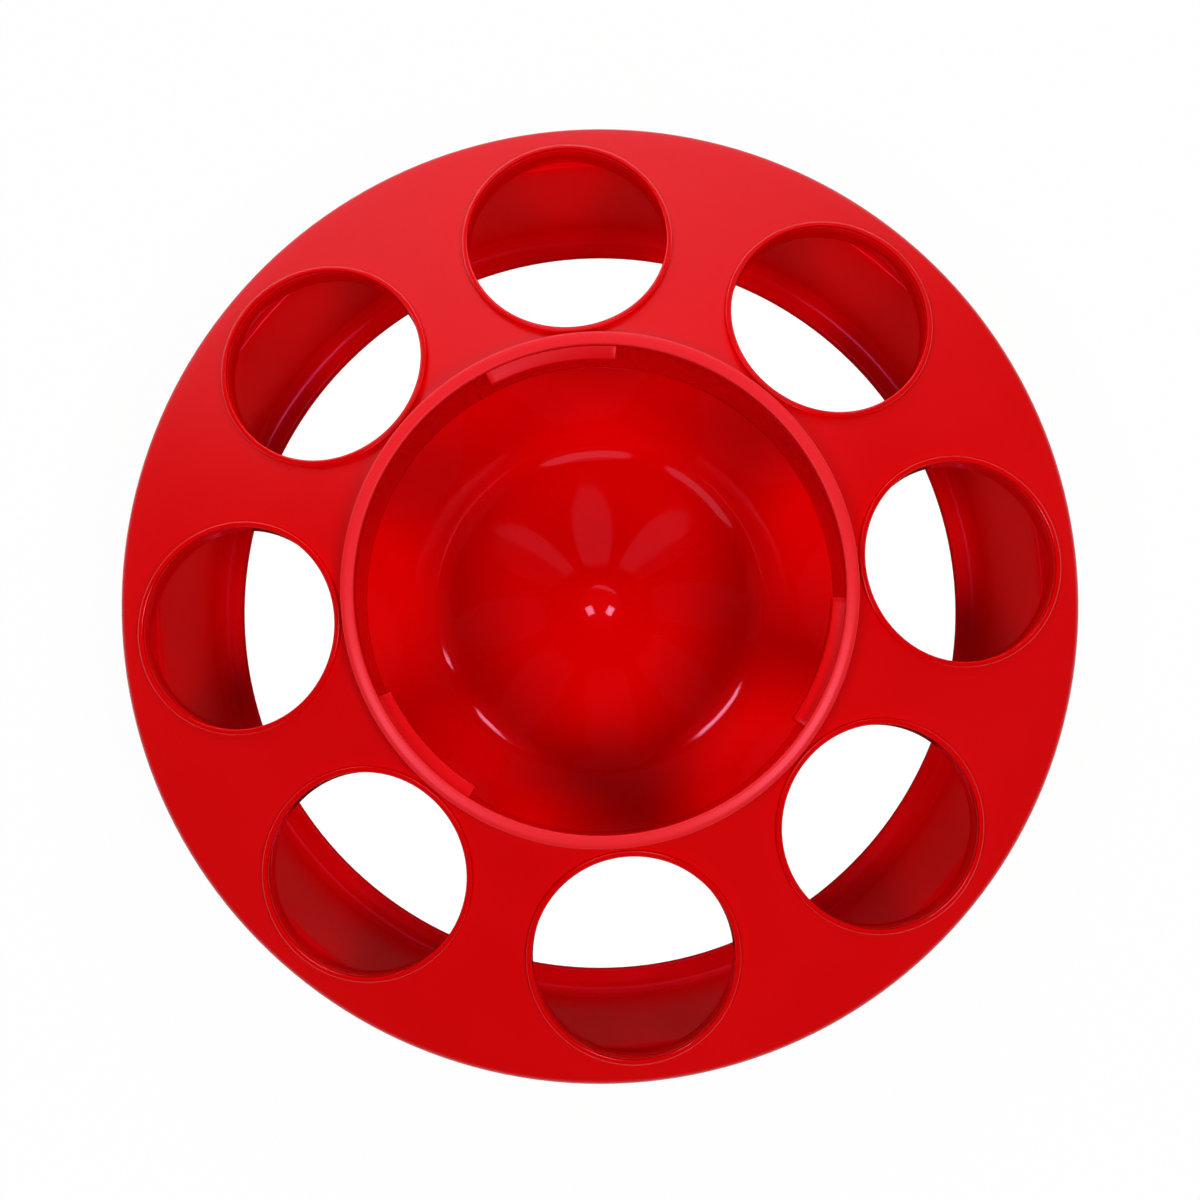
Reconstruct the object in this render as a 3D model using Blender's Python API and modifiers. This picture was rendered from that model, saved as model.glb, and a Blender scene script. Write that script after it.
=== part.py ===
# Quart-jar chick feeder base: a lift-off cover with eight feed holes round a screw collar,
# over a trough ring, a clear feed tray and a feed-spreading cone. Metres, +Z up.
# The origin is the middle of the flat face it rests on. Cover and collar are one moulding
# on the real part; they are two solids here so that each keeps a simple, open shape.
import bmesh
import bpy
from math import cos, degrees, pi, radians, sin, sqrt, tan
from mathutils import Matrix, Vector

# Fits
FIT_GAP = 0.0003              # between pieces that seat on each other
MERGE = 0.00001               # points closer than this are one point

# Clear tray, the floor of the trough
TRAY_WALL = 0.0015
PEG_RADIUS = 0.0030           # centre peg that the cone clips onto
PEG_HEIGHT = 0.0065           # above the tray's floor

# Trough ring
TROUGH_WALL = 0.0018
TROUGH_DEPTH = 0.0190         # from the toe's top to the rim's top
TROUGH_LEAN = radians(19.0)   # of the wall, wider at the top
TROUGH_FILLET = 0.0030        # inside round from the wall into the toe
TOE_LAND = 0.0018             # flat inward lip that covers the tray's edge
FLANGE_WIDTH = 0.00324        # rim that the cover stands on, measured inward from its edge
FLANGE_WALL = 0.0020
FOOT_WALL = 0.0018

# Cover
COVER_RADIUS = 0.0750
RIM_RISE = 0.0027             # widest circle of the cover above the trough's rim
SHOULDER_RADIUS = 0.0018
SKIRT_DROP = 0.0065           # skirt below the widest circle
COVER_WALL = 0.0018
PLATE_SLOPE = radians(30.0)
COLLAR_BORE_RADIUS = 0.0360   # takes a jar with a 70 mm screw finish
COLLAR_WALL = 0.0020
COLLAR_RISE = 0.0030          # collar's top above the place where the plate meets it
COLLAR_LENGTH = 0.0210
COLLAR_ROUND = 0.0005

# Feed holes
HOLE_COUNT = 8
HOLE_TO_COLLAR = 0.00135      # plate left between a hole and the collar
HOLE_TO_SKIRT = 0.0021        # plate left between a hole and the skirt's inner face
HOLE_STRETCH = 1.037          # radial size over the size along the ring
HOLE_TURN = radians(5.3)      # first hole's direction from +X
BEAD_WIDTH = 0.0009
BEAD_RISE = 0.0008
LIP_LAND = 0.0017             # level end of a lip, where it stands on the trough's rim

# Thread lugs in the collar
LUG_DIRECTIONS = [radians(102.0), radians(222.0), radians(342.0)]
LUG_SPAN = radians(32.0)
LUG_PROUD = 0.0019
LUG_HEIGHT = 0.0045
LUG_SET_DOWN = 0.0014         # lug's top below the collar's top
LUG_LEAD = 0.0051             # rise of the jar's thread in one turn
LUG_ROOT = 0.0010             # how far a lug is sunk into the collar's wall
LUG_LEAN = 0.0010             # fall of a lug's top face towards the bore, and rise of its underside

# Spreader cone
CONE_WALL = 0.0015
CONE_REACH = 0.0050           # disc beyond the collar's bore
CONE_DISC_SLOPE = radians(2.5)
CONE_BASE_RADIUS = 0.0260     # where the cone would meet the disc without the fillet
CONE_SLOPE = radians(30.0)
CONE_FILLET = 0.0076
CONE_TIP_RADIUS = 0.0085
SOCKET_WALL = 0.0015          # sleeve under the tip that grips the tray's peg

# Fineness
TURN_STEPS = 60
HOLE_STEPS = 32
ARC_STEPS = 3
EDGE_STEPS = 2
FILLET_STEPS = 6
LUG_STEPS = 5
SHARP_ANGLE = radians(32.0)

# Heights, from the ground up
tray_top = TRAY_WALL
toe_bottom = tray_top + FIT_GAP
toe_top = toe_bottom + TROUGH_WALL
rim_top = toe_top + TROUGH_DEPTH
cover_seat = rim_top + FIT_GAP
widest_z = rim_top + RIM_RISE

# Radii, from the cover's edge inward
skirt_inner = COVER_RADIUS - COVER_WALL
flange_radius = skirt_inner - FIT_GAP
trough_top_radius = flange_radius - FLANGE_WIDTH
fillet_z = toe_top + TROUGH_FILLET


def wall_inner(height):
    # Radius of the leaning wall's inner face
    return trough_top_radius - (rim_top - height) * tan(TROUGH_LEAN)


fillet_end_z = fillet_z - TROUGH_FILLET * sin(TROUGH_LEAN)
fillet_centre = wall_inner(fillet_end_z) - TROUGH_FILLET * cos(TROUGH_LEAN)
outer_fillet = TROUGH_FILLET + TROUGH_WALL
toe_radius = fillet_centre - TOE_LAND
foot_outer = fillet_centre + outer_fillet * cos(TROUGH_LEAN)
foot_top = fillet_z - outer_fillet * sin(TROUGH_LEAN)
foot_inner = foot_outer - FOOT_WALL
tray_radius = foot_inner - FIT_GAP

# Collar and holes
collar_outer = COLLAR_BORE_RADIUS + COLLAR_WALL
plate_inner = collar_outer + FIT_GAP
shoulder_join = COVER_RADIUS - SHOULDER_RADIUS * (1 - sin(PLATE_SLOPE))
shoulder_join_z = widest_z + SHOULDER_RADIUS * cos(PLATE_SLOPE)
hole_near = collar_outer + HOLE_TO_COLLAR
hole_far = skirt_inner - HOLE_TO_SKIRT
hole_ring = (hole_near + hole_far) / 2
hole_radial = (hole_far - hole_near) / 2
hole_across = hole_radial / HOLE_STRETCH
lip_level_from = hole_far + BEAD_WIDTH - LIP_LAND


def plate_top(radius):
    return shoulder_join_z + (shoulder_join - radius) * tan(PLATE_SLOPE)


def plate_bottom(radius):
    return plate_top(radius) - COVER_WALL / cos(PLATE_SLOPE)


collar_top = plate_top(collar_outer) + COLLAR_RISE
collar_bottom = collar_top - COLLAR_LENGTH
lip_depth = plate_top(lip_level_from) - cover_seat


def arc(centre, radius, start, end, steps=ARC_STEPS):
    # Points of a round stretch in the (radius, height) plane, angles in degrees
    points = []
    for step in range(steps + 1):
        angle = radians(start + (end - start) * step / steps)
        points.append((centre[0] + radius * cos(angle), centre[1] + radius * sin(angle)))
    return points


def clear_scene():
    for item in list(bpy.data.objects):
        bpy.data.objects.remove(item, do_unlink=True)


def new_collection(name):
    collection = bpy.data.collections.new(name)
    bpy.context.scene.collection.children.link(collection)
    return collection


def new_object(name, mesh, collection):
    item = bpy.data.objects.new(name, mesh)
    collection.objects.link(item)
    return item


def turned(name, outline, collection, closed=True, steps=TURN_STEPS):
    # A turned solid: the outline runs down its outer side and is screwed round Z
    count = len(outline)
    edges = [(i, i + 1) for i in range(count - 1)]
    if closed:
        edges.append((count - 1, 0))
    mesh = bpy.data.meshes.new(name)
    mesh.from_pydata([(radius, 0.0, height) for radius, height in outline], edges, [])
    item = new_object(name, mesh, collection)
    screw = item.modifiers.new("Turn", 'SCREW')
    screw.axis = 'Z'
    screw.angle = 2 * pi
    screw.steps = steps
    screw.render_steps = steps
    screw.use_merge_vertices = True
    screw.merge_threshold = MERGE
    return item


def combine(target, other, operation):
    boolean = target.modifiers.new(operation.title(), 'BOOLEAN')
    boolean.operation = operation
    boolean.object = other


def hide_guide(item):
    item.display_type = 'WIRE'
    item.hide_render = True


def around_holes(function):
    for index in range(HOLE_COUNT):
        function(HOLE_TURN + 2 * pi * index / HOLE_COUNT)


def hole_rods(name, extra, collection):
    # One upright oval rod at each feed hole, grown by extra on every side
    bm = bmesh.new()
    height = 2 * collar_top

    def rod(direction):
        oval = Matrix.Diagonal((hole_radial + extra, hole_across + extra, 1.0, 1.0))
        place = Matrix.Rotation(direction, 4, 'Z') @ Matrix.Translation((hole_ring, 0.0, 0.0))
        bmesh.ops.create_cone(bm, cap_ends=True, segments=HOLE_STEPS, radius1=1.0, radius2=1.0,
                              depth=height, matrix=place @ oval)

    around_holes(rod)
    mesh = bpy.data.meshes.new(name)
    bm.to_mesh(mesh)
    bm.free()
    item = new_object(name, mesh, collection)
    hide_guide(item)
    return item


def lug_bars(name, collection):
    # Three short helical bars, each a small outline swept round the collar's bore
    bm = bmesh.new()
    inner = COLLAR_BORE_RADIUS - LUG_PROUD
    root = COLLAR_BORE_RADIUS + LUG_ROOT
    rise = LUG_LEAD * LUG_SPAN / (2 * pi)
    low = collar_top - LUG_SET_DOWN - LUG_HEIGHT - rise
    high = low + LUG_HEIGHT
    outline = [(root, low), (COLLAR_BORE_RADIUS, low), (inner, low + LUG_LEAN),
               (inner, high - LUG_LEAN), (COLLAR_BORE_RADIUS, high), (root, high)]
    for direction in LUG_DIRECTIONS:
        start = Matrix.Rotation(direction - LUG_SPAN / 2, 4, 'Z')
        corners = [bm.verts.new(start @ Vector((radius, 0.0, height))) for radius, height in outline]
        end_face = bm.faces.new(corners)
        bmesh.ops.spin(bm, geom=[end_face] + end_face.edges[:] + corners, cent=(0.0, 0.0, 0.0),
                       axis=(0.0, 0.0, 1.0), dvec=(0.0, 0.0, rise / LUG_STEPS), angle=LUG_SPAN,
                       steps=LUG_STEPS, use_duplicate=False)
    bmesh.ops.recalc_face_normals(bm, faces=bm.faces[:])
    mesh = bpy.data.meshes.new(name)
    bm.to_mesh(mesh)
    bm.free()
    item = new_object(name, mesh, collection)
    hide_guide(item)
    return item


def lip_band(collection):
    # The layer that the hole rims fill: proud of the plate above, level on the trough's rim below
    near = plate_inner
    far = skirt_inner + COVER_WALL / 2
    outline = [(near, plate_top(near) + BEAD_RISE), (far, plate_top(far) + BEAD_RISE),
               (far, cover_seat), (lip_level_from, cover_seat), (near, plate_top(near) - lip_depth)]
    item = turned("lip_band", outline, collection)
    hide_guide(item)
    return item


def feed_cover(parts, guides):
    outline = [(plate_inner, plate_top(plate_inner))]
    outline += arc((COVER_RADIUS - SHOULDER_RADIUS, widest_z), SHOULDER_RADIUS,
                   90 - degrees(PLATE_SLOPE), 0)
    outline += [(COVER_RADIUS, widest_z - SKIRT_DROP), (skirt_inner, widest_z - SKIRT_DROP),
                (skirt_inner, plate_bottom(skirt_inner)), (plate_inner, plate_bottom(plate_inner))]
    cover = turned("feed_cover", outline, parts)

    lips = hole_rods("hole_lips", BEAD_WIDTH, guides)
    combine(lips, lip_band(guides), 'INTERSECT')
    combine(cover, lips, 'UNION')
    combine(cover, hole_rods("feed_holes", 0.0, guides), 'DIFFERENCE')
    return cover


def jar_collar(parts, guides):
    top = collar_top - COLLAR_ROUND
    outline = arc((collar_outer - COLLAR_ROUND, top), COLLAR_ROUND, 90, 0, EDGE_STEPS)
    outline += [(collar_outer, collar_bottom + COLLAR_ROUND),
                (collar_outer - COLLAR_ROUND, collar_bottom), (COLLAR_BORE_RADIUS, collar_bottom)]
    outline += arc((COLLAR_BORE_RADIUS + COLLAR_ROUND, top), COLLAR_ROUND, 180, 90, EDGE_STEPS)
    collar = turned("jar_collar", outline, parts)
    combine(collar, lug_bars("thread_lugs", guides), 'UNION')
    return collar


def trough_ring(parts):
    lean = degrees(TROUGH_LEAN)
    wall = TROUGH_WALL / cos(TROUGH_LEAN)
    flange_bottom = rim_top - FLANGE_WALL
    foot_roof = fillet_z - sqrt(outer_fillet ** 2 - (foot_inner - fillet_centre) ** 2)
    edge = FLANGE_WALL / 4
    inner_edge = wall_inner(rim_top - edge) + edge / cos(TROUGH_LEAN)

    outline = arc((flange_radius - edge, rim_top - edge), edge, 90, 0, EDGE_STEPS)
    outline += [(flange_radius, flange_bottom), (wall_inner(flange_bottom) + wall, flange_bottom),
                (foot_outer, foot_top), (foot_outer, 0.0), (foot_inner, 0.0), (foot_inner, foot_roof)]
    outline += [(fillet_centre, toe_bottom), (toe_radius, toe_bottom), (toe_radius, toe_top)]
    outline += arc((fillet_centre, fillet_z), TROUGH_FILLET, -90, -lean, FILLET_STEPS)
    outline += arc((inner_edge, rim_top - edge), edge, 180 - lean, 90, EDGE_STEPS)
    return turned("trough_ring", outline, parts)


def feed_tray(parts):
    chamfer = PEG_RADIUS / 5
    peg_top = tray_top + PEG_HEIGHT
    edge = TRAY_WALL / 4
    outline = [(0.0, peg_top), (PEG_RADIUS - chamfer, peg_top), (PEG_RADIUS, peg_top - chamfer),
               (PEG_RADIUS, tray_top), (tray_radius - edge, tray_top), (tray_radius, tray_top - edge),
               (tray_radius, 0.0), (0.0, 0.0)]
    return turned("feed_tray", outline, parts, closed=False)


def spreader_cone(parts):
    disc_radius = COLLAR_BORE_RADIUS + CONE_REACH
    disc_lean = tan(CONE_DISC_SLOPE)
    steep = tan(CONE_SLOPE)
    edge_bottom = tray_top + FIT_GAP
    edge_top = edge_bottom + CONE_WALL
    edge = CONE_WALL / 3
    base_z = edge_top + (disc_radius - CONE_BASE_RADIUS) * disc_lean

    def fillet(offset):
        # Inside round between disc and cone, for the top face or the face under it
        radius = CONE_FILLET + offset
        turn = (CONE_SLOPE - CONE_DISC_SLOPE) / 2
        out = CONE_FILLET * tan(turn)
        start = (CONE_BASE_RADIUS - out * cos(CONE_SLOPE), base_z + out * sin(CONE_SLOPE))
        centre = (start[0] + CONE_FILLET * sin(CONE_SLOPE), start[1] + CONE_FILLET * cos(CONE_SLOPE))
        return arc(centre, radius, 270 - degrees(CONE_SLOPE), 270 - degrees(CONE_DISC_SLOPE))

    apex_z = base_z + CONE_BASE_RADIUS * steep
    tip_centre = (0.0, apex_z - CONE_TIP_RADIUS / cos(CONE_SLOPE))
    tip = arc(tip_centre, CONE_TIP_RADIUS, 90, 90 - degrees(CONE_SLOPE))

    socket_inner = PEG_RADIUS + FIT_GAP
    socket_outer = socket_inner + SOCKET_WALL
    socket_top = tray_top + PEG_HEIGHT + FIT_GAP

    def under(radius):
        return apex_z - CONE_WALL / cos(CONE_SLOPE) - radius * steep

    outline = tip + fillet(0.0)
    outline += [(disc_radius - edge, edge_top + edge * disc_lean), (disc_radius, edge_top - edge),
                (disc_radius, edge_bottom), (disc_radius - 2 * CONE_WALL, edge_bottom)]
    outline += reversed(fillet(CONE_WALL))
    outline += [(socket_outer, under(socket_outer)), (socket_outer, edge_bottom),
                (socket_inner, edge_bottom), (socket_inner, socket_top), (0.0, socket_top)]
    return turned("spreader_cone", outline, parts, closed=False)


def finish_mesh(item):
    # Keeps the modelled shape, with smooth faces and crisp corners
    graph = bpy.context.evaluated_depsgraph_get()
    mesh = bpy.data.meshes.new_from_object(item.evaluated_get(graph))
    mesh.name = item.name
    item.modifiers.clear()
    item.data = mesh
    mesh.shade_smooth()
    mesh.set_sharp_from_angle(angle=SHARP_ANGLE)


def plastic(name, colour, roughness, transmission=0.0):
    material = bpy.data.materials.new(name)
    material.use_nodes = True
    shader = material.node_tree.nodes["Principled BSDF"]
    shader.inputs["Base Color"].default_value = (*colour, 1.0)
    shader.inputs["Roughness"].default_value = roughness
    shader.inputs["Metallic"].default_value = 0.0
    shader.inputs["Transmission Weight"].default_value = transmission
    return material


def build():
    clear_scene()
    parts = new_collection("chick_feeder_base")
    guides = new_collection("cutters")
    pieces = [
        (feed_cover(parts, guides), plastic("red_cover", (0.66, 0.002, 0.010), 0.38)),
        (jar_collar(parts, guides), plastic("red_collar", (0.66, 0.002, 0.010), 0.38)),
        (trough_ring(parts), plastic("red_trough", (0.45, 0.001, 0.001), 0.25)),
        (spreader_cone(parts), plastic("red_cone", (0.60, 0.001, 0.002), 0.15)),
        (feed_tray(parts), plastic("clear_tray", (0.95, 0.96, 0.96), 0.05, 1.0)),
    ]
    for item, material in pieces:
        finish_mesh(item)
        item.data.materials.clear()
        item.data.materials.append(material)


build()
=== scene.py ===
from math import atan2, cos, degrees, pi, radians, sin, sqrt, tan

import bpy
from mathutils import Matrix, Vector


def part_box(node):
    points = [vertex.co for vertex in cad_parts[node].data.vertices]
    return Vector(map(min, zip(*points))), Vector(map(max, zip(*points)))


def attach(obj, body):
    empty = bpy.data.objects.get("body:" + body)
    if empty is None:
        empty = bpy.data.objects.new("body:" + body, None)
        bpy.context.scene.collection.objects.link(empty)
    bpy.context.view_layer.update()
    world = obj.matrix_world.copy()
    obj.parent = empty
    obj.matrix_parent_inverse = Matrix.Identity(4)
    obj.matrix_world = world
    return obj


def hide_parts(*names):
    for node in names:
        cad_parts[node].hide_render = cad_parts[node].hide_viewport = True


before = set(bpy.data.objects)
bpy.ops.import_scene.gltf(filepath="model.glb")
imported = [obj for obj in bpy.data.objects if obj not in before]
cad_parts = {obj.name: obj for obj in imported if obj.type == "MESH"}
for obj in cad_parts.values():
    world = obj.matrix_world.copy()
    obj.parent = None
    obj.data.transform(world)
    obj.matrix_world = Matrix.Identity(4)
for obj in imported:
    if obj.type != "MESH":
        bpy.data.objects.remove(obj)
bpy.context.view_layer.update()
print("frame loaded with", len(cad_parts), "nodes")

# Everything below is written in millimetres and turned to metres by this factor
mm = 0.001

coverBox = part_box("feed_cover")
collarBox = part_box("jar_collar")
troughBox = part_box("trough_ring")
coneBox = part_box("spreader_cone")
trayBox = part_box("feed_tray")


# Small helpers

weldDistance = 0.002      # mm, for the doubles that a spin leaves
smoothDegrees = 32.0      # an edge that bends more stays sharp


def deselectEverything():
    bpy.ops.object.select_all(action='DESELECT')


def makeActive(piece):
    deselectEverything()
    piece.select_set(True)
    bpy.context.view_layer.objects.active = piece


def arcPoints(centre, radius, start, end, steps):
    # Points along a round stretch in the (radius, height) plane, angles in degrees
    turn = (end - start) / steps
    return [(centre[0] + radius * cos(radians(start + turn * i)),
             centre[1] + radius * sin(radians(start + turn * i))) for i in range(steps + 1)]


def linePoints(first, last, steps):
    # The points after first, up to and with last
    return [(first[0] + (last[0] - first[0]) * i / steps,
             first[1] + (last[1] - first[1]) * i / steps) for i in range(1, steps + 1)]


def latheProfile(name, profile, steps, closed=True):
    # One vertex is drawn out along the profile, then the line is spun round the upright axis
    deselectEverything()
    bpy.ops.mesh.primitive_plane_add(size=2 * mm, location=(profile[0][0] * mm, 0.0, profile[0][1] * mm))
    piece = bpy.context.object
    piece.name = name
    bpy.ops.object.mode_set(mode='EDIT')
    bpy.ops.mesh.merge(type='CENTER')
    path = profile + profile[:1] if closed else profile
    for here, there in zip(path, path[1:]):
        step = ((there[0] - here[0]) * mm, 0.0, (there[1] - here[1]) * mm)
        bpy.ops.mesh.extrude_region_move(TRANSFORM_OT_translate={"value": step})
    bpy.ops.mesh.select_all(action='SELECT')
    bpy.ops.mesh.spin(steps=steps, angle=2 * pi, center=(0.0, 0.0, 0.0), axis=(0.0, 0.0, 1.0))
    bpy.ops.mesh.select_all(action='SELECT')
    bpy.ops.mesh.remove_doubles(threshold=weldDistance * mm)
    bpy.ops.mesh.normals_make_consistent(inside=False)
    bpy.ops.object.mode_set(mode='OBJECT')
    bpy.ops.object.transform_apply(location=True, rotation=True, scale=True)
    return piece


def cutOrJoin(piece, other, operation):
    # Boolean that is applied, after which the second mesh is gone
    makeActive(piece)
    boolean = piece.modifiers.new("join", 'BOOLEAN')
    boolean.operation = operation
    boolean.object = other
    bpy.ops.object.modifier_apply(modifier=boolean.name)
    bpy.data.objects.remove(other, do_unlink=True)


def smoothPiece(piece):
    makeActive(piece)
    bpy.ops.object.shade_smooth_by_angle(angle=radians(smoothDegrees))


def turnedCopy(piece, direction):
    # A copy with its own mesh, turned round the feeder's axis
    twin = piece.copy()
    twin.data = piece.data.copy()
    bpy.context.collection.objects.link(twin)
    twin.data.transform(Matrix.Rotation(direction, 4, 'Z'))
    return twin


# Cover: plate, collar, skirt, feed holes and thread lugs are one moulding

coverShape = {
    "steps": 192,             # facets round the cover
    "wall": 1.8,
    "slopeDegrees": 30.0,
    "shoulderRound": 1.8,
    "widestAboveSkirt": 6.5,  # height of the widest circle above the skirt's edge
    "skirtEdgeRound": 0.5,
    "skirtCorner": [(0.0, 0.6), (0.25, 0.1)],   # points inside the skirt: inward, down
    "boreRadius": 36.0,
    "collarWall": 2.0,
    "collarRound": 0.3,       # of the two edges of the collar's top
    "ringFalls": [(6.0, 13.0, 0.95), (13.0, 42.0, 0.45)],   # of the top: first slope, last slope, width
    "collarFootRound": 0.5,   # where the collar rises from the plate
    "collarCorner": [(0.5, 0.0), (0.1, 0.04), (0.0, 0.5)],  # points under the plate: outward, down
    "collarEndRound": 0.6,    # of the collar's lower end
    "seamDegrees": 120.9,     # where the two halves of the mould's core met
    "seamWidth": 0.25,
    "seamProud": 0.1,
    "seamRound": 0.06,
    "seamInset": 0.45,        # from the collar's two ends
}

holeShape = {
    "count": 8,
    "steps": 96,
    "firstDegrees": 5.3,
    "toCollar": 1.35,         # what is left of the plate at the hole's two ends
    "toSkirt": 2.1,
    "stretch": 1.037,         # length outwards over width
    "beadWidth": 0.9,
    "beadRise": 0.8,
    "edgeRound": 0.28,
    "endRound": 0.43,         # round of the lip's lower end
    "funnelSlope": 0.32,      # mm that the lip's outer side closes in for each mm down
    "funnelDepth": 1.9,
    "lipLand": 1.7,           # length over which the lip's lower end is level, by the skirt
    "seatAboveSkirt": 4.1,    # height of that end above the skirt's edge
}

lugShape = {
    "directionsDegrees": [102.0, 222.0, 342.0],
    "spanDegrees": 32.0,
    "steps": 20,
    "proud": 1.9,
    "height": 4.5,
    "setDown": 1.4,           # from the collar's top
    "lead": 5.1,              # of the jar's thread
    "root": 1.0,              # how deep the lug reaches into the collar's wall
    "lean": 0.5,              # fall of the top face towards the bore, and rise of the underside
    "round": 0.25,
}

coverRadius = coverBox[1][0] / mm
collarTop = collarBox[1][2] / mm
collarBottom = collarBox[0][2] / mm
skirtBottom = coverBox[0][2] / mm
skirtInner = coverRadius - coverShape["wall"]
collarOuter = coverShape["boreRadius"] + coverShape["collarWall"]
slope = radians(coverShape["slopeDegrees"])
widestHeight = skirtBottom + coverShape["widestAboveSkirt"]
shoulderCentre = (coverRadius - coverShape["shoulderRound"], widestHeight)
shoulderJoin = (shoulderCentre[0] + coverShape["shoulderRound"] * sin(slope),
                shoulderCentre[1] + coverShape["shoulderRound"] * cos(slope))
holeNear = collarOuter + holeShape["toCollar"]
holeFar = skirtInner - holeShape["toSkirt"]
holeRing = (holeNear + holeFar) / 2
holeRadial = (holeFar - holeNear) / 2
holeAcross = holeRadial / holeShape["stretch"]
lipSeat = skirtBottom + holeShape["seatAboveSkirt"]


def plateTop(radius):
    return shoulderJoin[1] + (shoulderJoin[0] - radius) * tan(slope)


def underPlate(radius, down):
    return (radius, plateTop(radius) - coverShape["wall"] / cos(slope) - down)


def ringProfile():
    # The collar's top from the bore outwards: a nearly even fall, a rounder one, then the outer edge
    shape = coverShape
    ringRound = shape["collarRound"]
    edge = (shape["boreRadius"] + ringRound, collarTop - ringRound)
    profile = []
    for start, end, width in shape["ringFalls"]:
        reach = width / (sin(radians(end)) - sin(radians(start)))
        centre = (edge[0] - reach * sin(radians(start)), edge[1] - reach * cos(radians(start)))
        stretch = arcPoints(centre, reach + ringRound, 90 - start, 90 - end, 5)
        profile += stretch[1:] if profile else stretch
        edge = (centre[0] + reach * sin(radians(end)), centre[1] + reach * cos(radians(end)))
    return profile + arcPoints(edge, ringRound, 90 - end, 0, 4)[1:]


def makeCoverBody():
    shape = coverShape
    bore = shape["boreRadius"]
    ringRound = shape["collarRound"]
    footRound = shape["collarFootRound"]
    endRound = shape["collarEndRound"]
    edge = shape["skirtEdgeRound"]
    profile = ringProfile()
    # down the collar, out along the plate and over the shoulder to the skirt's edge
    footHeight = plateTop(collarOuter) + footRound * tan((pi / 2 - slope) / 2)
    footCentre = (collarOuter + footRound, footHeight)
    profile += linePoints(profile[-1], (collarOuter, footHeight), 2)
    profile += arcPoints(footCentre, footRound, 180, 270 - degrees(slope), 4)[1:]
    profile += linePoints(profile[-1], shoulderJoin, 20)
    profile += arcPoints(shoulderCentre, shape["shoulderRound"], 90 - degrees(slope), 0, 8)[1:]
    profile += linePoints(profile[-1], (coverRadius, skirtBottom + edge), 3)
    profile += arcPoints((coverRadius - edge, skirtBottom + edge), edge, 0, -90, 4)[1:]
    # up inside the skirt and back along the plate's underside
    profile += arcPoints((skirtInner + edge, skirtBottom + edge), edge, -90, -180, 4)
    skirtCorner = [underPlate(skirtInner - inward, down) for inward, down in shape["skirtCorner"]]
    collarCorner = [underPlate(collarOuter + outward, down) for outward, down in shape["collarCorner"]]
    profile += linePoints(profile[-1], skirtCorner[0], 2) + skirtCorner[1:]
    profile += linePoints(profile[-1], collarCorner[0], 18) + collarCorner[1:]
    # round the collar's lower end and up the bore
    profile += linePoints(profile[-1], (collarOuter, collarBottom + endRound), 6)
    profile += arcPoints((collarOuter - endRound, collarBottom + endRound), endRound, 0, -90, 4)[1:]
    profile += arcPoints((bore + endRound, collarBottom + endRound), endRound, -90, -180, 4)
    profile += linePoints(profile[-1], (bore, collarTop - ringRound), 7)
    bend = 90 - shape["ringFalls"][0][0]
    profile += arcPoints((bore + ringRound, collarTop - ringRound), ringRound, 180, bend, 6)[1:-1]
    return latheProfile("feedCover", profile, shape["steps"])


def makeSeam():
    # The fine upright ridge that the mould's core left on the collar's bore
    shape = coverShape
    height = collarTop - collarBottom - 2 * shape["seamInset"]
    deselectEverything()
    bpy.ops.mesh.primitive_cube_add(size=1.0)
    seam = bpy.context.object
    bpy.ops.object.mode_set(mode='EDIT')
    bpy.ops.transform.resize(value=(2 * shape["seamProud"] * mm, shape["seamWidth"] * mm, height * mm))
    bpy.ops.mesh.bevel(offset=shape["seamRound"] * mm, segments=2, affect='EDGES')
    bpy.ops.transform.translate(value=(shape["boreRadius"] * mm, 0.0, (collarTop + collarBottom) / 2 * mm))
    bpy.ops.object.mode_set(mode='OBJECT')
    seam.data.transform(Matrix.Rotation(radians(shape["seamDegrees"]), 4, 'Z'))
    return seam


def makeLipSleeve():
    # One rim with its lip. A short sleeve is spun at a wide radius, then drawn in to the hole's oval,
    # and each point is slid up or down to follow the plate.
    shape = holeShape
    edge = shape["edgeRound"]
    end = shape["endRound"]
    width = shape["beadWidth"]
    rise = shape["beadRise"]
    depth = plateTop(holeFar + width - shape["lipLand"]) - lipSeat
    inner = 1000.0            # so wide that the sleeve is all but straight
    outer = inner + width
    profile = arcPoints((outer - edge, rise - edge), edge, 90, 0, 4)
    profile += linePoints(profile[-1], (outer, -depth + end), 6)
    profile += arcPoints((outer - end, -depth + end), end, 0, -90, 4)[1:]
    profile += arcPoints((inner + end, -depth + end), end, -90, -180, 4)
    profile += linePoints(profile[-1], (inner, rise - edge), 10)
    profile += arcPoints((inner + edge, rise - edge), edge, 180, 90, 4)[1:]
    sleeve = latheProfile("lipSleeve", profile, shape["steps"])
    for vertex in sleeve.data.vertices:
        around = atan2(vertex.co.y, vertex.co.x)
        height = vertex.co.z / mm
        fromWall = vertex.co.xy.length / mm - inner
        if fromWall < width / 2:
            # the inside closes in like a funnel, on the side away from the collar
            down = min(max(rise - edge - height, 0.0), shape["funnelDepth"])
            fromWall -= shape["funnelSlope"] * down * max(cos(around), 0.0)
        x = holeRing + (holeRadial + fromWall) * cos(around)
        y = (holeAcross + fromWall) * sin(around)
        z = plateTop(sqrt(x * x + y * y)) + height
        if height < -depth / 2:
            # near the skirt the lower end is level
            z = max(z, lipSeat + height + depth)
        vertex.co = Vector((x, y, z)) * mm
    return sleeve


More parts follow.
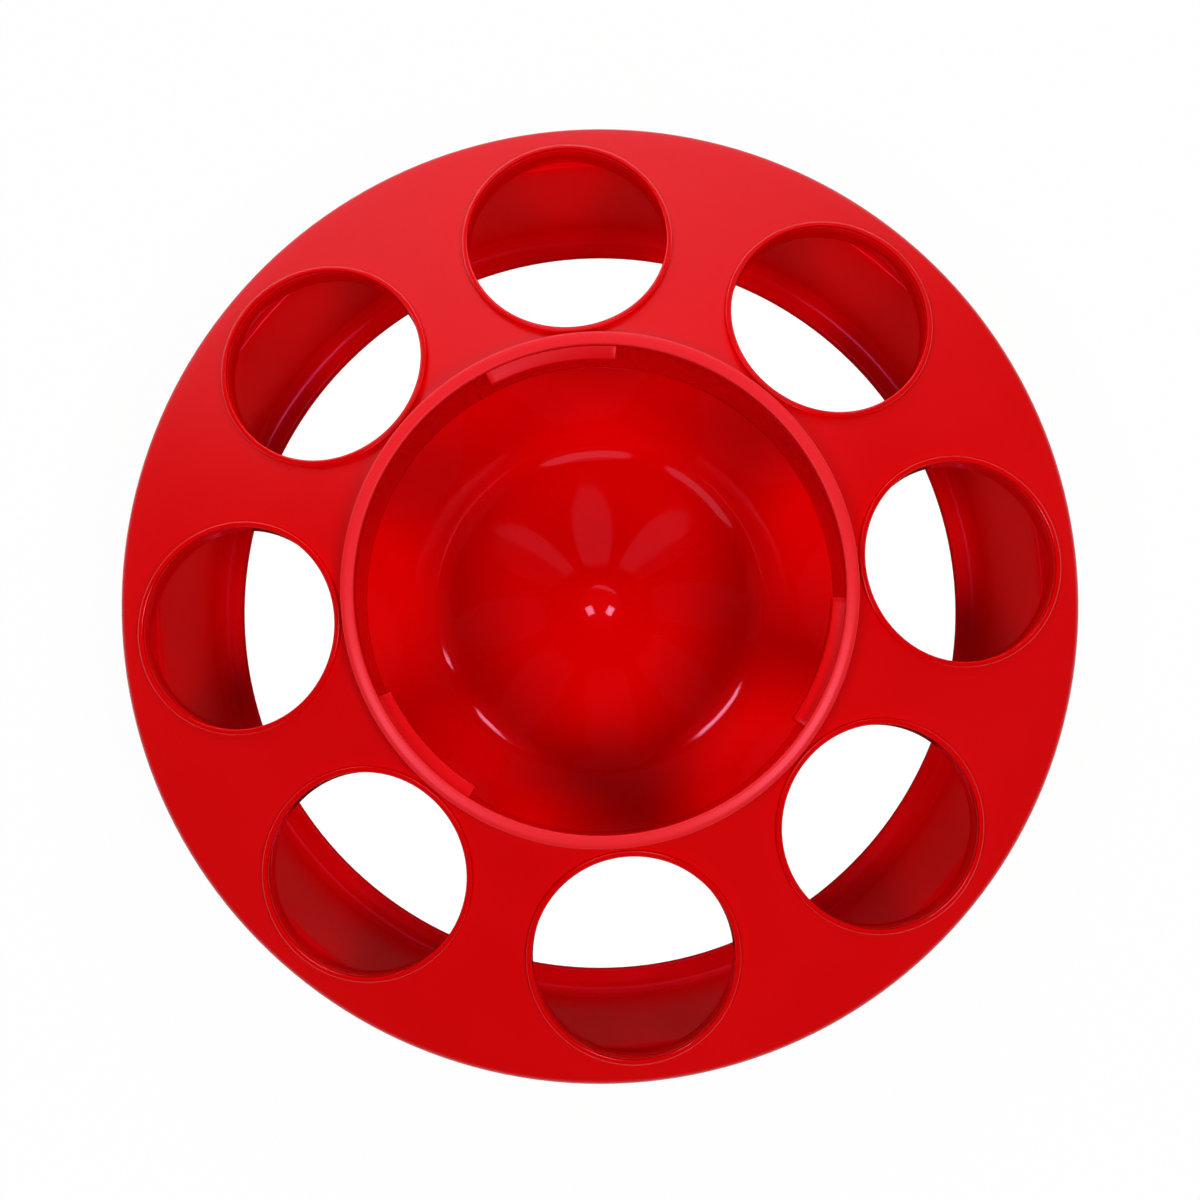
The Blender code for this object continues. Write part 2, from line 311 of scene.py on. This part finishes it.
def makeHoleRod():
    # The plug that opens one hole, halfway into its rim
    half = holeShape["beadWidth"] / 2
    middle = (holeRing * mm, 0.0, (skirtBottom + collarTop) / 2 * mm)
    deselectEverything()
    bpy.ops.mesh.primitive_cylinder_add(vertices=holeShape["steps"], radius=(holeRadial + half) * mm,
                                        depth=2 * (collarTop - skirtBottom) * mm, location=middle)
    rod = bpy.context.object
    bpy.ops.object.mode_set(mode='EDIT')
    bpy.ops.mesh.select_all(action='SELECT')
    bpy.ops.transform.resize(value=(1.0, (holeAcross + half) / (holeRadial + half), 1.0),
                             center_override=middle)
    bpy.ops.object.mode_set(mode='OBJECT')
    bpy.ops.object.transform_apply(location=True, rotation=True, scale=True)
    return rod


def makeLug():
    # A short bar drawn as a block outline and spun a part turn, with the jar thread's rise
    shape = lugShape
    bore = coverShape["boreRadius"]
    inner = bore - shape["proud"]
    root = bore + shape["root"]
    span = radians(shape["spanDegrees"])
    rise = shape["lead"] * span / (2 * pi)
    low = collarTop - shape["setDown"] - shape["height"] - rise
    high = low + shape["height"]
    corners = [(root, low), (bore, low), (inner, low + shape["lean"]),
               (inner, high - shape["lean"]), (bore, high), (root, high)]
    deselectEverything()
    bpy.ops.mesh.primitive_circle_add(vertices=len(corners), radius=mm, fill_type='NGON')
    lug = bpy.context.object
    for vertex, corner in zip(lug.data.vertices, corners):
        vertex.co = Vector((corner[0], 0.0, corner[1])) * mm
    bpy.ops.object.mode_set(mode='EDIT')
    bpy.ops.mesh.select_all(action='SELECT')
    bpy.ops.mesh.spin(steps=shape["steps"], angle=span, center=(0.0, 0.0, 0.0), axis=(0.0, 0.0, 1.0))
    bpy.ops.mesh.select_all(action='SELECT')
    bpy.ops.mesh.normals_make_consistent(inside=False)
    bpy.ops.object.mode_set(mode='OBJECT')
    for vertex in lug.data.vertices:
        # a spin goes clockwise, so the outline where it began is the high end
        vertex.co.z += rise * mm * (1 + atan2(vertex.co.y, vertex.co.x) / span)
    lug.data.transform(Matrix.Rotation(span / 2, 4, 'Z'))
    bevel = lug.modifiers.new("edges", 'BEVEL')
    bevel.width = shape["round"] * mm
    bevel.segments = 3
    bevel.limit_method = 'ANGLE'
    bevel.angle_limit = radians(30)
    makeActive(lug)
    bpy.ops.object.modifier_apply(modifier=bevel.name)
    return lug


def makeCover():
    cover = makeCoverBody()
    rod = makeHoleRod()
    sleeve = makeLipSleeve()
    for index in range(holeShape["count"]):
        direction = radians(holeShape["firstDegrees"]) + 2 * pi * index / holeShape["count"]
        cutOrJoin(cover, turnedCopy(rod, direction), 'DIFFERENCE')
        cutOrJoin(cover, turnedCopy(sleeve, direction), 'UNION')
    lug = makeLug()
    for direction in lugShape["directionsDegrees"]:
        cutOrJoin(cover, turnedCopy(lug, radians(direction)), 'UNION')
    cutOrJoin(cover, makeSeam(), 'UNION')
    for spare in (rod, sleeve, lug):
        bpy.data.objects.remove(spare, do_unlink=True)
    smoothPiece(cover)
    return cover


# Trough ring: wall, rim, toe and foot

troughShape = {
    "steps": 192,
    "wall": 1.8,
    "leanDegrees": 19.0,      # of the wall, wider at the top
    "fillet": 3.0,            # inside round from the wall into the toe
    "toeLand": 1.8,
    "toeRound": 0.7,
    "flangeWidth": 3.24,
    "flangeWall": 2.0,
    "flangeCorner": [(0.4, 0.0), (-0.08, 0.24)],    # points under the flange: out from the wall, down
    "rimRound": 0.5,
    "footWall": 1.8,
    "footRound": 0.4,
}


def makeTrough():
    shape = troughShape
    wall = shape["wall"]
    edge = shape["rimRound"]
    small = shape["footRound"]
    toeRound = shape["toeRound"]
    lean = radians(shape["leanDegrees"])
    rimRadius = troughBox[1][0] / mm
    rimTop = troughBox[1][2] / mm
    flangeBottom = rimTop - shape["flangeWall"]
    toeBottom = trayShape["wall"] + trayShape["fitGap"]
    toeTop = toeBottom + wall
    filletHeight = toeTop + shape["fillet"]

    def wallInner(height):
        return rimRadius - shape["flangeWidth"] - (rimTop - height) * tan(lean)

    filletEnd = filletHeight - shape["fillet"] * sin(lean)
    filletCentre = wallInner(filletEnd) - shape["fillet"] * cos(lean)
    outerRound = shape["fillet"] + wall
    footOuter = filletCentre + outerRound * cos(lean)
    footInner = footOuter - shape["footWall"]
    footRoof = filletHeight - sqrt(outerRound ** 2 - (footInner - filletCentre) ** 2)
    outerTop = wallInner(flangeBottom) + wall / cos(lean)
    innerEdge = wallInner(rimTop - edge) + edge / cos(lean)
    toeRadius = filletCentre - shape["toeLand"]

    # out over the rim, down the outside and under the foot
    profile = arcPoints((rimRadius - edge, rimTop - edge), edge, 90, 0, 5)
    profile += arcPoints((rimRadius - small, flangeBottom + small), small, 0, -90, 3)
    profile += [(outerTop + outward, flangeBottom - down) for outward, down in shape["flangeCorner"]]
    profile += linePoints(profile[-1], (footOuter, filletHeight - outerRound * sin(lean)), 8)
    profile += linePoints(profile[-1], (footOuter, small), 2)
    profile += arcPoints((footOuter - small, small), small, 0, -90, 3)[1:]
    profile += arcPoints((footInner + small, small), small, -90, -180, 3)
    # in under the toe, round it and up the inside
    profile += [(footInner, footRoof), (filletCentre, toeBottom), (toeRadius + toeRound, toeBottom)]
    profile += arcPoints((toeRadius + toeRound, toeBottom + toeRound), toeRound, 270, 180, 4)[1:]
    profile += arcPoints((toeRadius + toeRound, toeTop - toeRound), toeRound, 180, 90, 4)
    profile += arcPoints((filletCentre, filletHeight), shape["fillet"], -90, -shape["leanDegrees"], 14)
    profile += linePoints(profile[-1], (innerEdge - edge * cos(lean), rimTop - edge + edge * sin(lean)), 9)
    profile += arcPoints((innerEdge, rimTop - edge), edge, 180 - shape["leanDegrees"], 90, 5)[1:]
    trough = latheProfile("troughRing", profile, shape["steps"])
    smoothPiece(trough)
    return trough


# Spreader cone: a low cone on a disc, with a sleeve underneath that takes the tray's peg

coneShape = {
    "steps": 160,
    "wall": 1.5,
    "discSlopeDegrees": 2.5,
    "slopeDegrees": 30.0,
    "baseRadius": 26.0,
    "fillet": 7.6,
    "tipRadius": 8.5,
    "edgeRound": 0.5,
    "edgeCut": 0.2,           # off the disc's lower edge
    "edgeLand": 3.0,          # flat ring under the disc's edge
    "sleeveWall": 1.5,
}


def makeCone():
    shape = coneShape
    wall = shape["wall"]
    edge = shape["edgeRound"]
    cut = shape["edgeCut"]
    steep = radians(shape["slopeDegrees"])
    discSlope = radians(shape["discSlopeDegrees"])
    discRadius = coneBox[1][0] / mm
    bottom = coneBox[0][2] / mm
    edgeTop = bottom + wall
    baseHeight = edgeTop + (discRadius - shape["baseRadius"]) * tan(discSlope)
    out = shape["fillet"] * tan((steep - discSlope) / 2)
    start = (shape["baseRadius"] - out * cos(steep), baseHeight + out * sin(steep))
    centre = (start[0] + shape["fillet"] * sin(steep), start[1] + shape["fillet"] * cos(steep))
    apex = baseHeight + shape["baseRadius"] * tan(steep)
    tipCentre = (0.0, apex - shape["tipRadius"] / cos(steep))
    edgeCentre = (discRadius - edge, edgeTop + edge * tan(discSlope) - edge / cos(discSlope))
    low = 270 - shape["slopeDegrees"]
    high = 270 - shape["discSlopeDegrees"]
    sleeveInner = trayShape["pegRadius"] + trayShape["fitGap"]
    sleeveOuter = sleeveInner + shape["sleeveWall"]
    sleeveRoof = trayBox[1][2] / mm + trayShape["fitGap"]
    # down the cone and out to the disc's edge
    profile = arcPoints(tipCentre, shape["tipRadius"], 90, 90 - shape["slopeDegrees"], 8)
    profile += linePoints(profile[-1], start, 14)
    profile += arcPoints(centre, shape["fillet"], low, high, 12)[1:]
    profile += linePoints(profile[-1], (discRadius - edge, edgeTop + edge * tan(discSlope)), 6)
    profile += arcPoints(edgeCentre, edge, 90 - shape["discSlopeDegrees"], 0, 4)[1:]
    # back underneath to the sleeve
    profile += [(discRadius, bottom + cut), (discRadius - cut, bottom)]
    profile += [(discRadius - shape["edgeLand"], bottom)]
    profile += arcPoints(centre, shape["fillet"] + wall, high, low, 8)
    profile += [(sleeveOuter, apex - wall / cos(steep) - sleeveOuter * tan(steep)),
                (sleeveOuter, bottom), (sleeveInner, bottom), (sleeveInner, sleeveRoof), (0.0, sleeveRoof)]
    cone = latheProfile("spreaderCone", profile, shape["steps"], closed=False)
    smoothPiece(cone)
    return cone


# Clear tray: the trough's floor, with the peg that holds the cone

trayShape = {
    "steps": 160,
    "wall": 1.5,
    "fitGap": 0.3,            # round and over what the tray carries
    "edgeRound": 0.35,
    "pegRadius": 3.0,
    "pegRound": 0.6,
    "pegFootRound": 0.25,
}


def makeTray():
    shape = trayShape
    wall = shape["wall"]
    edge = shape["edgeRound"]
    peg = shape["pegRadius"]
    pegRound = shape["pegRound"]
    foot = shape["pegFootRound"]
    radius = trayBox[1][0] / mm
    pegTop = trayBox[1][2] / mm
    profile = [(0.0, pegTop)]
    profile += arcPoints((peg - pegRound, pegTop - pegRound), pegRound, 90, 0, 4)
    profile += arcPoints((peg + foot, wall + foot), foot, 180, 270, 2)
    profile += linePoints(profile[-1], (radius - edge, wall), 12)
    profile += arcPoints((radius - edge, wall - edge), edge, 90, 0, 4)[1:]
    profile += arcPoints((radius - edge, edge), edge, 0, -90, 4)
    profile += linePoints(profile[-1], (0.0, 0.0), 12)
    tray = latheProfile("feedTray", profile, shape["steps"], closed=False)
    smoothPiece(tray)
    return tray


# Materials

noiseRange = (0.3, 0.7)       # nearly all of a noise pattern's values lie between these


def linearColour(hexText):
    # sRGB hex to Blender's linear colour
    parts = [int(hexText[i:i + 2], 16) / 255 for i in (1, 3, 5)]
    return [c / 12.92 if c <= 0.04045 else ((c + 0.055) / 1.055) ** 2.4 for c in parts] + [1.0]


def addNode(tree, kind, settings=None, inputs=None):
    node = tree.nodes.new(kind)
    for key, value in (settings or {}).items():
        setattr(node, key, value)
    for key, value in (inputs or {}).items():
        if isinstance(value, bpy.types.NodeSocket):
            tree.links.new(value, node.inputs[key])
        else:
            node.inputs[key].default_value = value
    return node


def newMaterial(name):
    material = bpy.data.materials.new(name)
    material.use_nodes = True
    tree = material.node_tree
    shader = tree.nodes["Principled BSDF"]
    return material, tree, shader


redFinish = {
    "body": "#E80002",            # the pigment by itself has hardly any green or blue in it
    "flowShade": "#DC0000",
    "flowLength": 30.0,           # mm between flow marks
    "sinkSpacing": 12.0,          # mm between the slow dips that shrinkage leaves
    "sinkDepth": 0.05,
    "ior": 1.49,
}

# gloss is the roughness, lowest and highest. What the skin reflects leans to pink, and further to
# magenta in the shade of the cover. The trough's wall came off a duller core.
skins = {
    "cover": {"gloss": (0.08, 0.13), "sheen": "#FF96B4", "specular": 0.35},
    "cone": {"gloss": (0.06, 0.10), "sheen": "#FFB4E0", "specular": 0.35},
    "trough": {"gloss": (0.18, 0.24), "sheen": "#FF70B4", "specular": 0.3},
}

# The cover's own finishes. The bands count from the plate's top face and from the collar's top, in mm.
coverFinish = {
    "satin": (0.34, 0.42),        # roughness of the spark-eroded plate
    "satinBand": (0.15, 0.35),    # off the plate's face, where the satin ends
    "grainWidth": 0.35,           # mm, coarser than the real one so that it shows
    "grainDepth": 0.03,
    "ringSatin": 0.8,             # share of the satin on the collar's ring and lugs
    "ringBand": (4.4, 3.6),
    "paintedSheenColour": "#F2242A",          # painted sheen: the collar's top is painted a little paler, standing in for glare that the lamps only partly give
    "paintedSheenBand": (0.9, 0.5),
}


def coverSkin(tree, place, flow, colour, rough, normal):
    # Lays the satin over the plate's face and most of it over the collar's ring, whose top gets painted
    # sheen: a paler red standing in for glare
    finish = coverFinish
    split = addNode(tree, 'ShaderNodeSeparateXYZ', inputs={"Vector": place}).outputs
    flat = addNode(tree, 'ShaderNodeCombineXYZ', inputs={"X": split["X"], "Y": split["Y"]})
    radius = addNode(tree, 'ShaderNodeVectorMath', {"operation": 'LENGTH'},
                     {0: flat.outputs["Vector"]}).outputs["Value"]
    # how far a point stands off the plate's top face
    rise = addNode(tree, 'ShaderNodeMath', {"operation": 'MULTIPLY_ADD'},
                   {0: radius, 1: tan(slope), 2: split["Z"]}).outputs["Value"]
    off = addNode(tree, 'ShaderNodeMath', {"operation": 'SUBTRACT'},
                  {0: rise, 1: plateTop(0.0) * mm}).outputs["Value"]
    away = addNode(tree, 'ShaderNodeMath', {"operation": 'ABSOLUTE'}, {0: off}).outputs["Value"]
    plate = addNode(tree, 'ShaderNodeMapRange', inputs={
        "Value": away, "From Min": finish["satinBand"][0] * mm, "From Max": finish["satinBand"][1] * mm,
        "To Min": 1.0, "To Max": 0.0}).outputs["Result"]
    # the collar's ring with its lugs, and then its very top, which gets the painted sheen
    ring = addNode(tree, 'ShaderNodeMapRange', inputs={
        "Value": split["Z"], "From Min": (collarTop - finish["ringBand"][0]) * mm,
        "From Max": (collarTop - finish["ringBand"][1]) * mm,
        "To Max": finish["ringSatin"]}).outputs["Result"]
    paintedSheenMask = addNode(tree, 'ShaderNodeMapRange', inputs={
        "Value": split["Z"], "From Min": (collarTop - finish["paintedSheenBand"][0]) * mm,
        "From Max": (collarTop - finish["paintedSheenBand"][1]) * mm}).outputs["Result"]
    satin = addNode(tree, 'ShaderNodeMath', {"operation": 'MAXIMUM'}, {0: plate, 1: ring}).outputs["Value"]
    dull = addNode(tree, 'ShaderNodeMapRange', inputs={
        "Value": flow, "From Min": noiseRange[0], "From Max": noiseRange[1],
        "To Min": finish["satin"][0], "To Max": finish["satin"][1]}).outputs["Result"]
    rough = addNode(tree, 'ShaderNodeMix', {"data_type": 'FLOAT'},
                    {"Factor": satin, "A": rough, "B": dull}).outputs["Result"]
    # painted sheen: the collar's very top is mixed towards a paler red, standing in for glare
    colour = addNode(tree, 'ShaderNodeMix', {"data_type": 'RGBA'},
                     {"Factor": paintedSheenMask, "A": colour, "B": linearColour(finish["paintedSheenColour"])}).outputs["Result"]
    grain = addNode(tree, 'ShaderNodeTexNoise', inputs={
        "Vector": place, "Detail": 2.0, "Scale": 1 / (finish["grainWidth"] * mm)}).outputs["Fac"]
    pebble = addNode(tree, 'ShaderNodeMath', {"operation": 'MULTIPLY'},
                     {0: grain, 1: satin}).outputs["Value"]
    normal = addNode(tree, 'ShaderNodeBump', inputs={
        "Height": pebble, "Strength": 0.3, "Distance": finish["grainDepth"] * mm,
        "Normal": normal}).outputs["Normal"]
    return colour, rough, normal


def mouldedRed(name, skinName):
    # Injection-moulded polypropylene: an even, deep red with near-mirror gloss where the tool was
    # polished. The cover's sloping plate was spark-eroded, so it has a faint pebbled satin skin, and its
    # collar's ring and lugs are nearly as dull.
    finish = redFinish
    skin = skins[skinName]
    material, tree, shader = newMaterial(name)
    place = addNode(tree, 'ShaderNodeTexCoord').outputs["Object"]
    flow = addNode(tree, 'ShaderNodeTexNoise', inputs={
        "Vector": place, "Detail": 3.0, "Scale": 1 / (finish["flowLength"] * mm)}).outputs["Fac"]
    colour = addNode(tree, 'ShaderNodeMix', {"data_type": 'RGBA'}, {
        "Factor": flow, "A": linearColour(finish["flowShade"]),
        "B": linearColour(finish["body"])}).outputs["Result"]
    rough = addNode(tree, 'ShaderNodeMapRange', inputs={
        "Value": flow, "From Min": noiseRange[0], "From Max": noiseRange[1],
        "To Min": skin["gloss"][0], "To Max": skin["gloss"][1]}).outputs["Result"]
    sink = addNode(tree, 'ShaderNodeTexNoise', inputs={
        "Vector": place, "Detail": 1.0, "Scale": 1 / (finish["sinkSpacing"] * mm)}).outputs["Fac"]
    normal = addNode(tree, 'ShaderNodeBump', inputs={
        "Height": sink, "Strength": 0.5, "Distance": finish["sinkDepth"] * mm}).outputs["Normal"]
    if skinName == "cover":
        colour, rough, normal = coverSkin(tree, place, flow, colour, rough, normal)
    tree.links.new(colour, shader.inputs["Base Color"])
    tree.links.new(rough, shader.inputs["Roughness"])
    tree.links.new(normal, shader.inputs["Normal"])
    shader.inputs["IOR"].default_value = finish["ior"]
    shader.inputs["Specular IOR Level"].default_value = skin["specular"]
    shader.inputs["Specular Tint"].default_value = linearColour(skin["sheen"])
    return material


clearFinish = {
    "tint": "#FEFEFE",
    "sheen": "#707070",       # hardly mirrors from above
    "ior": 1.49,
    "hazeSpacing": 9.0,       # mm between patches of haze
    "haze": (0.01, 0.04),     # roughness
}


def clearPlastic(name):
    # Clear moulded styrene-like sheet: water-clear with a trace of haze from its polished tool
    finish = clearFinish
    material, tree, shader = newMaterial(name)
    place = addNode(tree, 'ShaderNodeTexCoord').outputs["Object"]
    haze = addNode(tree, 'ShaderNodeTexNoise', inputs={
        "Vector": place, "Detail": 2.0, "Scale": 1 / (finish["hazeSpacing"] * mm)}).outputs["Fac"]
    rough = addNode(tree, 'ShaderNodeMapRange', inputs={
        "Value": haze, "To Min": finish["haze"][0], "To Max": finish["haze"][1]}).outputs["Result"]
    tree.links.new(rough, shader.inputs["Roughness"])
    shader.inputs["Base Color"].default_value = linearColour(finish["tint"])
    shader.inputs["IOR"].default_value = finish["ior"]
    shader.inputs["Specular Tint"].default_value = linearColour(finish["sheen"])
    shader.inputs["Transmission Weight"].default_value = 1.0
    return material


# Stage, lights and camera

viewShape = {
    "distance": 364.0,        # mm that the camera is above the cover's widest circle
    "offset": 25.0,           # mm that it stands towards the reader
    "focalPixels": 2326.8,
    "framePixels": 1200,
    "sensor": 36.0,
    "nearest": 10.0,          # mm, the range that it draws
    "farthest": 20000.0,
}


def makeCamera():
    shape = viewShape
    camera = bpy.data.objects.new("camera", bpy.data.cameras.new("camera"))
    bpy.context.scene.collection.objects.link(camera)
    camera.data.sensor_width = shape["sensor"]
    camera.data.lens = shape["focalPixels"] * shape["sensor"] / shape["framePixels"]
    place = Vector((0.0, -shape["offset"], widestHeight + shape["distance"])) * mm
    target = Vector((0.0, 0.0, widestHeight)) * mm
    camera.location = place
    camera.rotation_euler = (target - place).to_track_quat('-Z', 'Y').to_euler()
    camera.data.clip_start = shape["nearest"] * mm
    camera.data.clip_end = shape["farthest"] * mm
    bpy.context.scene.camera = camera


stageShape = {
    "floorSize": 6000.0,      # mm
    "floorDrop": 0.2,         # mm that the floor lies below the feeder
    "floorColour": "#B4B4B4",
    "floorRoughness": 0.9,
    "realLight": 0.07,        # share of the floor's white that is real light, which carries the shadow
    "white": 1.04,
    "throughTray": 0.14,      # more white behind the clear floor, which takes that share away
    "paintedShadeFloor": "#1E1E1E",   # painted shade: the dark floor that the red walls mirror through the clear floor, standing in for the shade under the feeder
    "studio": "#FFFFFF",
    "worldStrength": 0.075,   # what the dark end of the studio throws on the object
}


def seenWhite(tree):
    # Three outputs: 1 where the camera, a mirror-like face or clear plastic sees the floor, then 1 for
    # what the red walls mirror through the clear floor, which the real walls show hardly anything of and
    # where the floor gets painted shade, and last how strong the white is.
    path = addNode(tree, 'ShaderNodeLightPath').outputs
    mirrored = addNode(tree, 'ShaderNodeMath', {"operation": 'MAXIMUM'},
                       {0: path["Is Glossy Ray"], 1: path["Is Transmission Ray"]}).outputs["Value"]
    seen = addNode(tree, 'ShaderNodeMath', {"operation": 'MAXIMUM'},
                   {0: path["Is Camera Ray"], 1: mirrored}).outputs["Value"]
    bounces = addNode(tree, 'ShaderNodeMath', {"operation": 'MULTIPLY'},
                      {0: path["Glossy Depth"], 1: path["Transmission Depth"]}).outputs["Value"]
    paintedShadePath = addNode(tree, 'ShaderNodeMath', {"operation": 'GREATER_THAN'},
                     {0: bounces, 1: 0.5}).outputs["Value"]
    white = addNode(tree, 'ShaderNodeMath', {"operation": 'SUBTRACT', "use_clamp": True},
                    {0: seen, 1: paintedShadePath}).outputs["Value"]
    strength = addNode(tree, 'ShaderNodeMath', {"operation": 'MULTIPLY_ADD'},
                       {0: path["Is Transmission Ray"], 1: stageShape["throughTray"],
                        2: stageShape["white"]}).outputs["Value"]
    return white, paintedShadePath, strength


def makeFloor():
    shape = stageShape
    deselectEverything()
    bpy.ops.mesh.primitive_plane_add(size=shape["floorSize"] * mm,
                                     location=(0.0, 0.0, -shape["floorDrop"] * mm))
    floor = bpy.context.object
    floor.name = "floor"
    material, tree, shader = newMaterial("paleFloor")
    seen, paintedShadePath, strength = seenWhite(tree)
    # painted shade: the floor is painted dark where the red walls mirror it through the clear floor
    tone = addNode(tree, 'ShaderNodeMix', {"data_type": 'RGBA'}, {
        "Factor": paintedShadePath, "A": linearColour(shape["floorColour"]),
        "B": linearColour(shape["paintedShadeFloor"])}).outputs["Result"]
    tree.links.new(tone, shader.inputs["Base Color"])
    shader.inputs["Roughness"].default_value = shape["floorRoughness"]
    white = addNode(tree, 'ShaderNodeEmission', inputs={
        "Color": linearColour(shape["studio"]), "Strength": strength}).outputs["Emission"]
    share = addNode(tree, 'ShaderNodeMath', {"operation": 'MULTIPLY'},
                    {0: seen, 1: 1 - shape["realLight"]}).outputs["Value"]
    mix = addNode(tree, 'ShaderNodeMixShader', inputs={0: share, 1: shader.outputs["BSDF"], 2: white})
    tree.links.new(mix.outputs["Shader"], tree.nodes["Material Output"].inputs["Surface"])
    floor.data.materials.append(material)


def makeWorld():
    # Full white where the camera looks past the floor, and dim for the light that it throws
    world = bpy.data.worlds.new("studio")
    world.use_nodes = True
    tree = world.node_tree
    path = addNode(tree, 'ShaderNodeLightPath').outputs
    strength = addNode(tree, 'ShaderNodeMapRange', inputs={
        "Value": path["Is Camera Ray"], "To Min": stageShape["worldStrength"], "To Max": 1.0})
    background = tree.nodes["Background"]
    background.inputs["Color"].default_value = linearColour(stageShape["studio"])
    tree.links.new(strength.outputs["Result"], background.inputs["Strength"])
    bpy.context.scene.world = world


# Softboxes stand round the feeder and face it. Azimuth runs anticlockwise from +X, wide and tall are
# degrees as the feeder sees them, and brightness is 1 where the box itself would look white.
lamps = [
    {"name": "rightSoftbox", "azimuth": 331, "elevation": 65, "wide": 18, "tall": 14, "brightness": 16.5},
    {"name": "leftSoftbox", "azimuth": 208, "elevation": 65, "wide": 18, "tall": 14, "brightness": 13.0},
    {"name": "highBack", "azimuth": 75, "elevation": 46, "wide": 70, "tall": 18, "brightness": 1.3},
    {"name": "middleBack", "azimuth": 92, "elevation": 26, "wide": 100, "tall": 18, "brightness": 0.3},
    {"name": "lowBack", "azimuth": 104, "elevation": 9, "wide": 100, "tall": 12, "brightness": 4.2},
]
lampDistance = 900.0          # mm


def makeLamps():
    for lamp in lamps:
        azimuth, elevation = radians(lamp["azimuth"]), radians(lamp["elevation"])
        away = Vector((cos(azimuth) * cos(elevation), sin(azimuth) * cos(elevation), sin(elevation)))
        light = bpy.data.lights.new(lamp["name"], 'AREA')
        light.shape = 'RECTANGLE'
        light.size = 2 * tan(radians(lamp["wide"] / 2)) * lampDistance * mm
        light.size_y = 2 * tan(radians(lamp["tall"] / 2)) * lampDistance * mm
        light.energy = lamp["brightness"] * pi * light.size * light.size_y
        item = bpy.data.objects.new(lamp["name"], light)
        bpy.context.scene.collection.objects.link(item)
        item.location = away * lampDistance * mm
        item.rotation_euler = (-away).to_track_quat('-Z', 'Y').to_euler()


# Put it together

bpy.context.scene.view_settings.view_transform = 'Standard'
makeCamera()
makeFloor()
makeWorld()
makeLamps()
print("stage, lights and camera set")

cover = makeCover()
print("cover modelled")
trough = makeTrough()
cone = makeCone()
tray = makeTray()
print("trough, cone and tray modelled")

dressing = [
    (cover, "cover", ("feed_cover", "jar_collar"), "cover_red",
     mouldedRed("redPolypropyleneCover", "cover")),
    (trough, "trough", ("trough_ring",), "trough_red", mouldedRed("redPolypropyleneTrough", "trough")),
    (cone, "trough", ("spreader_cone",), "cone_red", mouldedRed("redPolypropyleneCone", "cone")),
    (tray, "trough", ("feed_tray",), "tray_clear", clearPlastic("clearMouldedSheet")),
]
for piece, body, nodes, slotName, material in dressing:
    piece.data.materials.clear()
    piece.data.materials.append(material)
    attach(piece, body)
    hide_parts(*nodes)
print("materials given, pieces riding on their bodies")
